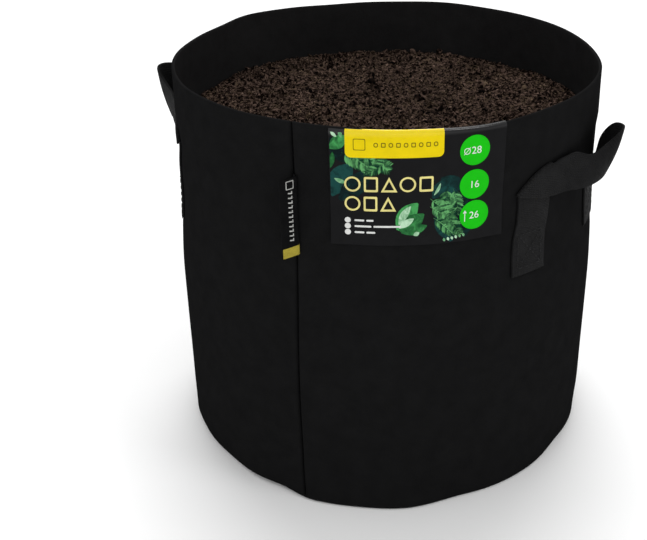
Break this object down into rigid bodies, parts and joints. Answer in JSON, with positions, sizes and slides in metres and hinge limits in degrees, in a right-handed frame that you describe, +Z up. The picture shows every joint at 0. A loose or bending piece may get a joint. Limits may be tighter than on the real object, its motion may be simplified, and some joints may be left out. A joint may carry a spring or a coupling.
{
  "type": "fabric grow bag",
  "caption": "Round open-topped felt planter bag with two webbing side handles, a folded card over its rim and a fill of potting mix.",
  "frame": {"origin": "centre of the bag's underside, on the ground", "axes": "+Z up along the bag's axis; -Y towards the side seam; +X to the right when the seam faces you"},
  "size_m": [0.3278, 0.2917, 0.2612],
  "materials": {
    "felt": "matte needle-punched felt",
    "webbing": "matte woven webbing",
    "thread": "polyester sewing thread",
    "woven_tag": "satin woven ribbon",
    "printed_card": "gloss laminated printed card",
    "soil": "matte crumbly peat potting mix"
  },
  "bodies": {
    "bag": {"side_wall": "felt", "base_panel": "felt", "side_seam_thread": "thread", "base_seam_thread": "thread", "seam_tag_tail": "woven_tag", "right_front_strap_leg": "webbing", "right_rear_strap_leg": "webbing", "left_front_strap_leg": "webbing", "left_rear_strap_leg": "webbing", "right_front_leg_thread": "thread", "right_rear_leg_thread": "thread", "left_front_leg_thread": "thread", "left_rear_leg_thread": "thread"},
    "right_handle": {"right_strap_loop": "webbing"},
    "left_handle": {"left_strap_loop": "webbing"},
    "tag_flag": {"seam_tag_flag": "woven_tag"},
    "card": {"info_card": "printed_card"},
    "soil": {"potting_mix": "soil"}
  },
  "joints": [
    {"name": "right_handle_swing", "type": "hinge", "parent": "bag", "child": "right_handle", "pos_m": [0.13776, -0.03004, 0.228], "axis": [-0.213, -0.977, 0], "range_deg": [0, 60], "stiffness_Nm_per_rad": 0.02},
    {"name": "left_handle_swing", "type": "hinge", "parent": "bag", "child": "left_handle", "pos_m": [-0.13776, -0.03004, 0.228], "axis": [-0.213, 0.977, 0], "range_deg": [0, 60], "stiffness_Nm_per_rad": 0.02},
    {"name": "tag_flip", "type": "hinge", "parent": "bag", "child": "tag_flag", "pos_m": [0, -0.1408, 0.204], "axis": [0, 0, 1], "range_deg": [-60, 100]},
    {"name": "card_lift", "type": "slide", "parent": "bag", "child": "card", "axis": [0, 0, 1], "range_m": [0, 0.12]},
    {"name": "soil_lift", "type": "slide", "parent": "bag", "child": "soil", "axis": [0, 0, 1], "range_m": [0, 0.26]}
  ]
}
